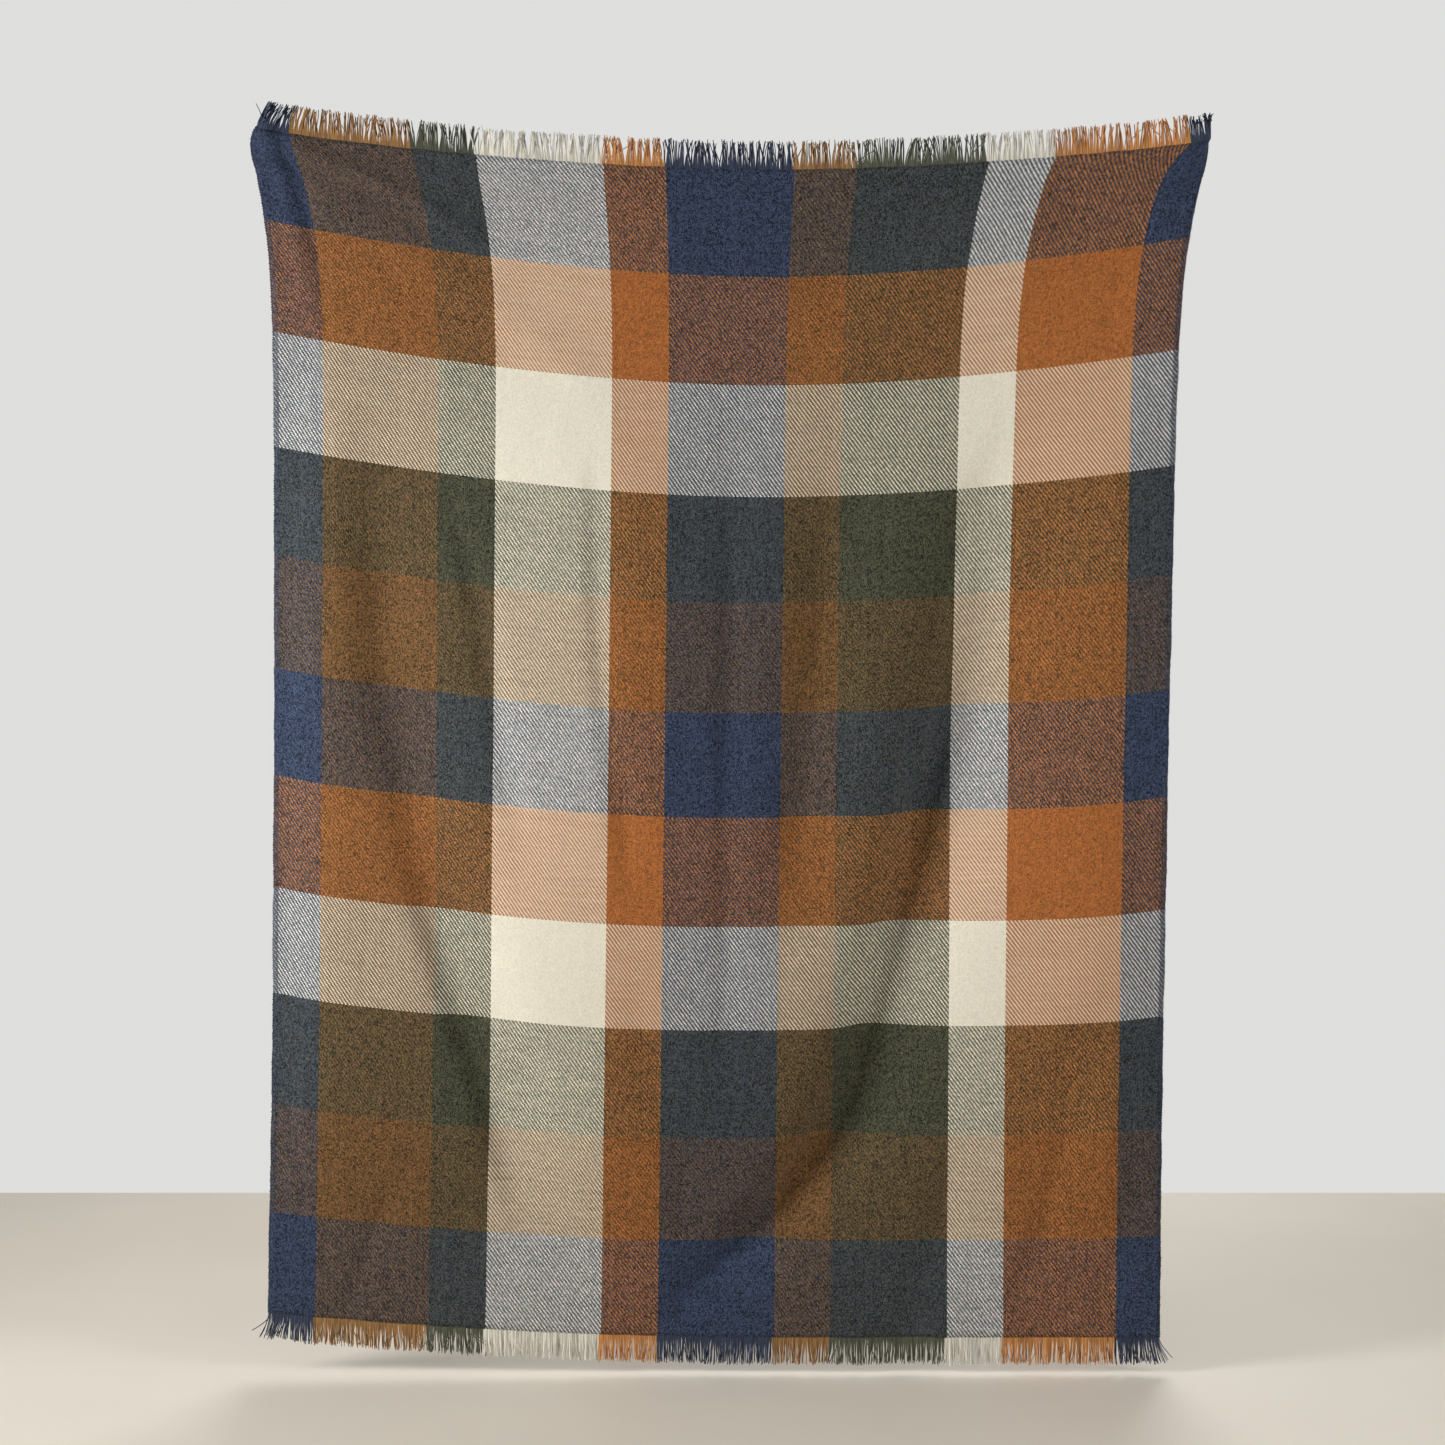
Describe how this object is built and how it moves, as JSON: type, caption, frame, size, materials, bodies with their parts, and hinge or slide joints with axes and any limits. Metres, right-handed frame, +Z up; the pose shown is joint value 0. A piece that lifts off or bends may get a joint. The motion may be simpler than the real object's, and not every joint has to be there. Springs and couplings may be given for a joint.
{
  "type": "throw blanket",
  "caption": "Woven plaid throw hanging open from its two top corners, with coloured warp-end fringe on both hems.",
  "frame": {"origin": "midway between the two top corners where the throw is held up", "axes": "+Z up, along the warp; +X to the right of someone facing the front; the front faces -Y"},
  "size_m": [1.3156, 0.066, 1.7656],
  "materials": {
    "woven_plaid": "soft matt 2/2 twill plaid in navy, rust, cream, green and ochre, with heathered yarn",
    "navy_yarn": "matt twisted navy yarn with loose fibres",
    "rust_yarn": "matt twisted rust yarn with loose fibres",
    "ochre_yarn": "matt twisted ochre yarn with loose fibres",
    "green_yarn": "matt twisted green yarn with loose fibres",
    "cream_yarn": "matt twisted cream yarn with loose fibres"
  },
  "bodies": {
    "upper_half": {"cloth_upper": "woven_plaid", "selvedge_left_upper": "navy_yarn", "selvedge_right_upper": "navy_yarn"},
    "lower_half": {"cloth_lower": "woven_plaid", "selvedge_left_lower": "navy_yarn", "selvedge_right_lower": "navy_yarn"},
    "fringe_top_01": {"fringe_top_01_navy": "navy_yarn"},
    "fringe_top_02": {"fringe_top_02_ochre": "ochre_yarn"},
    "fringe_top_03": {"fringe_top_03_green": "green_yarn"},
    "fringe_top_04": {"fringe_top_04_cream": "cream_yarn"},
    "fringe_top_05": {"fringe_top_05_rust": "rust_yarn"},
    "fringe_top_06": {"fringe_top_06_navy": "navy_yarn"},
    "fringe_top_07": {"fringe_top_07_ochre": "ochre_yarn"},
    "fringe_top_08": {"fringe_top_08_green": "green_yarn"},
    "fringe_top_09": {"fringe_top_09_cream": "cream_yarn"},
    "fringe_top_10": {"fringe_top_10_rust": "rust_yarn"},
    "fringe_top_11": {"fringe_top_11_navy": "navy_yarn"},
    "fringe_bottom_01": {"fringe_bottom_01_navy": "navy_yarn"},
    "fringe_bottom_02": {"fringe_bottom_02_ochre": "ochre_yarn"},
    "fringe_bottom_03": {"fringe_bottom_03_green": "green_yarn"},
    "fringe_bottom_04": {"fringe_bottom_04_cream": "cream_yarn"},
    "fringe_bottom_05": {"fringe_bottom_05_rust": "rust_yarn"},
    "fringe_bottom_06": {"fringe_bottom_06_navy": "navy_yarn"},
    "fringe_bottom_07": {"fringe_bottom_07_ochre": "ochre_yarn"},
    "fringe_bottom_08": {"fringe_bottom_08_green": "green_yarn"},
    "fringe_bottom_09": {"fringe_bottom_09_cream": "cream_yarn"},
    "fringe_bottom_10": {"fringe_bottom_10_rust": "rust_yarn"},
    "fringe_bottom_11": {"fringe_bottom_11_navy": "navy_yarn"}
  },
  "joints": [
    {"name": "fold_in_half", "type": "hinge", "parent": "upper_half", "child": "lower_half", "pos_m": [0, 0.062, -0.86], "axis": [1, 0, 0], "range_deg": [0, 172]},
    {"name": "fringe_top_01_swing", "type": "hinge", "parent": "upper_half", "child": "fringe_top_01", "pos_m": [-0.62726, 0, 0.01733], "axis": [-0.9881, 0, 0.1537], "range_deg": [-60, 60], "stiffness_Nm_per_rad": 0.003},
    {"name": "fringe_top_02_swing", "type": "hinge", "parent": "upper_half", "child": "fringe_top_02", "pos_m": [-0.51422, 0, 0.00265], "axis": [-0.9928, 0, 0.1194], "range_deg": [-60, 60], "stiffness_Nm_per_rad": 0.003},
    {"name": "fringe_top_03_swing", "type": "hinge", "parent": "upper_half", "child": "fringe_top_03", "pos_m": [-0.38881, 0, -0.01136], "axis": [-0.9955, 0, 0.0951], "range_deg": [-60, 60], "stiffness_Nm_per_rad": 0.003},
    {"name": "fringe_top_04_swing", "type": "hinge", "parent": "upper_half", "child": "fringe_top_04", "pos_m": [-0.25946, 0, -0.02181], "axis": [-0.9973, 0, 0.0732], "range_deg": [-60, 60], "stiffness_Nm_per_rad": 0.003},
    {"name": "fringe_top_05_swing", "type": "hinge", "parent": "upper_half", "child": "fringe_top_05", "pos_m": [-0.12977, 0, -0.0303], "axis": [-0.9988, 0, 0.0497], "range_deg": [-60, 60], "stiffness_Nm_per_rad": 0.003},
    {"name": "fringe_top_06_swing", "type": "hinge", "parent": "upper_half", "child": "fringe_top_06", "pos_m": [0, 0, -0.03413], "axis": [-0.9998, 0, 0.0193], "range_deg": [-60, 60], "stiffness_Nm_per_rad": 0.003},
    {"name": "fringe_top_07_swing", "type": "hinge", "parent": "upper_half", "child": "fringe_top_07", "pos_m": [0.12977, 0, -0.03491], "axis": [-0.9998, 0, -0.0203], "range_deg": [-60, 60], "stiffness_Nm_per_rad": 0.003},
    {"name": "fringe_top_08_swing", "type": "hinge", "parent": "upper_half", "child": "fringe_top_08", "pos_m": [0.25946, 0, -0.0297], "axis": [-0.9987, 0, -0.0502], "range_deg": [-60, 60], "stiffness_Nm_per_rad": 0.003},
    {"name": "fringe_top_09_swing", "type": "hinge", "parent": "upper_half", "child": "fringe_top_09", "pos_m": [0.38881, 0, -0.02201], "axis": [-0.997, 0, -0.0776], "range_deg": [-60, 60], "stiffness_Nm_per_rad": 0.003},
    {"name": "fringe_top_10_swing", "type": "hinge", "parent": "upper_half", "child": "fringe_top_10", "pos_m": [0.51422, 0, -0.00981], "axis": [-0.9943, 0, -0.1069], "range_deg": [-60, 60], "stiffness_Nm_per_rad": 0.003},
    {"name": "fringe_top_11_swing", "type": "hinge", "parent": "upper_half", "child": "fringe_top_11", "pos_m": [0.62726, 0, 0.00358], "axis": [-0.9893, 0, -0.1458], "range_deg": [-60, 60], "stiffness_Nm_per_rad": 0.003},
    {"name": "fringe_bottom_01_swing", "type": "hinge", "parent": "lower_half", "child": "fringe_bottom_01", "pos_m": [-0.61652, 0.00051, -1.63546], "axis": [0.9955, -0.011, -0.0937], "range_deg": [-60, 60]},
    {"name": "fringe_bottom_02_swing", "type": "hinge", "parent": "lower_half", "child": "fringe_bottom_02", "pos_m": [-0.50563, -0.0001, -1.64457], "axis": [0.997, -0.0033, -0.0772], "range_deg": [-60, 60]},
    {"name": "fringe_bottom_03_swing", "type": "hinge", "parent": "lower_half", "child": "fringe_bottom_03", "pos_m": [-0.38562, -0.0005, -1.65327], "axis": [0.998, -0.0034, -0.0627], "range_deg": [-60, 60]},
    {"name": "fringe_bottom_04_swing", "type": "hinge", "parent": "lower_half", "child": "fringe_bottom_04", "pos_m": [-0.26386, -0.00065, -1.65975], "axis": [0.9988, 0, -0.0484], "range_deg": [-60, 60]},
    {"name": "fringe_bottom_05_swing", "type": "hinge", "parent": "lower_half", "child": "fringe_bottom_05", "pos_m": [-0.14195, 0.00088, -1.66502], "axis": [0.9987, 0.0382, -0.0328], "range_deg": [-60, 60]},
    {"name": "fringe_bottom_06_swing", "type": "hinge", "parent": "lower_half", "child": "fringe_bottom_06", "pos_m": [-0.02, 0.00124, -1.66744], "axis": [0.9998, -0.015, -0.0132], "range_deg": [-60, 60]},
    {"name": "fringe_bottom_07_swing", "type": "hinge", "parent": "lower_half", "child": "fringe_bottom_07", "pos_m": [0.10195, 0, -1.6685], "axis": [1, -0.0005, 0], "range_deg": [-60, 60]},
    {"name": "fringe_bottom_08_swing", "type": "hinge", "parent": "lower_half", "child": "fringe_bottom_08", "pos_m": [0.22386, -0.00001, -1.6685], "axis": [1, 0.0001, 0], "range_deg": [-60, 60]},
    {"name": "fringe_bottom_09_swing", "type": "hinge", "parent": "lower_half", "child": "fringe_bottom_09", "pos_m": [0.34562, 0, -1.6685], "axis": [1, 0, 0], "range_deg": [-60, 60]},
    {"name": "fringe_bottom_10_swing", "type": "hinge", "parent": "lower_half", "child": "fringe_bottom_10", "pos_m": [0.46563, -0.00012, -1.6685], "axis": [1, -0.0016, 0], "range_deg": [-60, 60]},
    {"name": "fringe_bottom_11_swing", "type": "hinge", "parent": "lower_half", "child": "fringe_bottom_11", "pos_m": [0.57652, 0.00024, -1.6685], "axis": [0.9999, 0.0151, 0], "range_deg": [-60, 60]}
  ],
  "couplings": [
    {"joint": "fringe_top_01_swing", "follows": "fringe_top_06_swing", "ratio": 1},
    {"joint": "fringe_top_02_swing", "follows": "fringe_top_06_swing", "ratio": 1},
    {"joint": "fringe_top_03_swing", "follows": "fringe_top_06_swing", "ratio": 1},
    {"joint": "fringe_top_04_swing", "follows": "fringe_top_06_swing", "ratio": 1},
    {"joint": "fringe_top_05_swing", "follows": "fringe_top_06_swing", "ratio": 1},
    {"joint": "fringe_top_07_swing", "follows": "fringe_top_06_swing", "ratio": 1},
    {"joint": "fringe_top_08_swing", "follows": "fringe_top_06_swing", "ratio": 1},
    {"joint": "fringe_top_09_swing", "follows": "fringe_top_06_swing", "ratio": 1},
    {"joint": "fringe_top_10_swing", "follows": "fringe_top_06_swing", "ratio": 1},
    {"joint": "fringe_top_11_swing", "follows": "fringe_top_06_swing", "ratio": 1},
    {"joint": "fringe_bottom_01_swing", "follows": "fringe_bottom_06_swing", "ratio": 1},
    {"joint": "fringe_bottom_02_swing", "follows": "fringe_bottom_06_swing", "ratio": 1},
    {"joint": "fringe_bottom_03_swing", "follows": "fringe_bottom_06_swing", "ratio": 1},
    {"joint": "fringe_bottom_04_swing", "follows": "fringe_bottom_06_swing", "ratio": 1},
    {"joint": "fringe_bottom_05_swing", "follows": "fringe_bottom_06_swing", "ratio": 1},
    {"joint": "fringe_bottom_07_swing", "follows": "fringe_bottom_06_swing", "ratio": 1},
    {"joint": "fringe_bottom_08_swing", "follows": "fringe_bottom_06_swing", "ratio": 1},
    {"joint": "fringe_bottom_09_swing", "follows": "fringe_bottom_06_swing", "ratio": 1},
    {"joint": "fringe_bottom_10_swing", "follows": "fringe_bottom_06_swing", "ratio": 1},
    {"joint": "fringe_bottom_11_swing", "follows": "fringe_bottom_06_swing", "ratio": 1}
  ]
}
